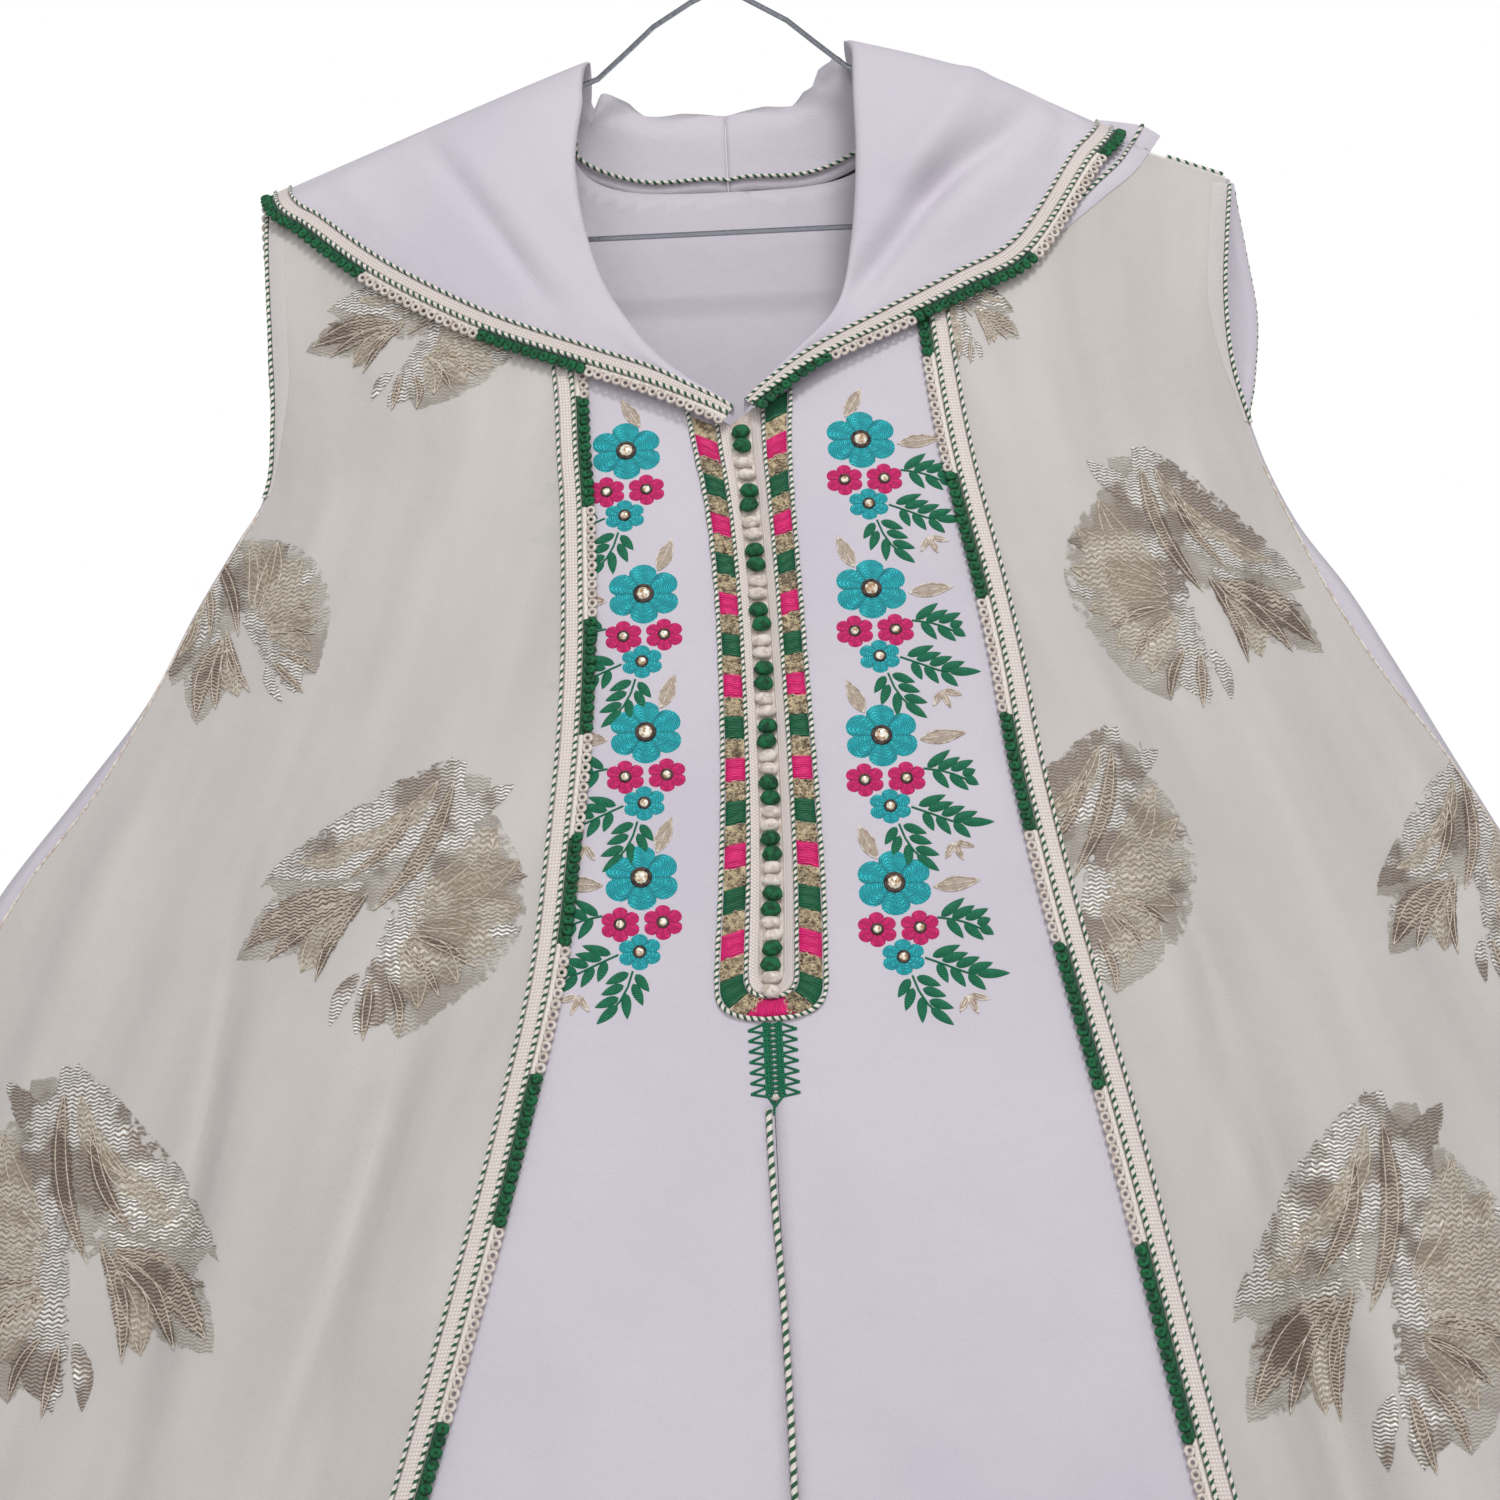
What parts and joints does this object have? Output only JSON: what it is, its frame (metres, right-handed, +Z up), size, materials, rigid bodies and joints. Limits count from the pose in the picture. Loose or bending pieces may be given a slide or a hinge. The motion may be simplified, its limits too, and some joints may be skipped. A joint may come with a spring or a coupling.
{
  "type": "kaftan on hanger",
  "caption": "Hooded sleeveless kaftan with a sheer overdress, braided edges and a knotted front placket, hung open-necked on a wire hanger.",
  "frame": {"origin": "inner top of the hanger's hook, where it rests on a rod", "axes": "+Z up along the length of the hanging garment, -Y out of its front, +X to the right as seen from the front"},
  "size_m": [1.1534, 0.2392, 1.5545],
  "materials": {
    "crepe": "matt lilac-white crepe",
    "sheer": "sheer ivory cloth with gold and silver brocade flowers",
    "braid": "flat cream braid with pinkish ribs",
    "edging": "crocheted thread, cream and green in turn",
    "band": "woven band in pink, gold and green blocks",
    "green_thread": "dark green corded thread",
    "cord": "twisted cord in dark green and cream",
    "wire": "plain drawn wire"
  },
  "bodies": {
    "root": {"front_left": "crepe", "front_right": "crepe", "back": "crepe", "overdress_left": "sheer", "overdress_right": "sheer", "overdress_back": "sheer", "hood_left": "crepe", "hood_right": "crepe", "hood_braid_left": "braid", "hood_braid_right": "braid", "hood_edging_left": "edging", "hood_edging_right": "edging", "braid_left": "braid", "braid_right": "braid", "edging_left": "edging", "edging_right": "edging", "placket_band": "band", "placket_inner": "braid", "knots_green_01": "green_thread", "knots_green_02": "green_thread", "knots_green_03": "green_thread", "knots_green_04": "green_thread", "knots_green_05": "green_thread", "knots_green_06": "green_thread", "knots_green_07": "green_thread", "knots_green_08": "green_thread", "knots_green_09": "green_thread", "knots_green_10": "green_thread", "knots_cream_01": "edging", "knots_cream_02": "edging", "knots_cream_03": "edging", "knots_cream_04": "edging", "knots_cream_05": "edging", "knots_cream_06": "edging", "knots_cream_07": "edging", "knots_cream_08": "edging", "knots_cream_09": "edging", "knots_cream_10": "edging", "neck_cord": "cord", "center_cord": "cord", "armhole_cord_left_front": "cord", "armhole_cord_left_back": "cord", "armhole_cord_right_front": "cord", "armhole_cord_right_back": "cord", "shoulder_cord_right": "cord", "hanger": "wire"}
  },
  "joints": []
}
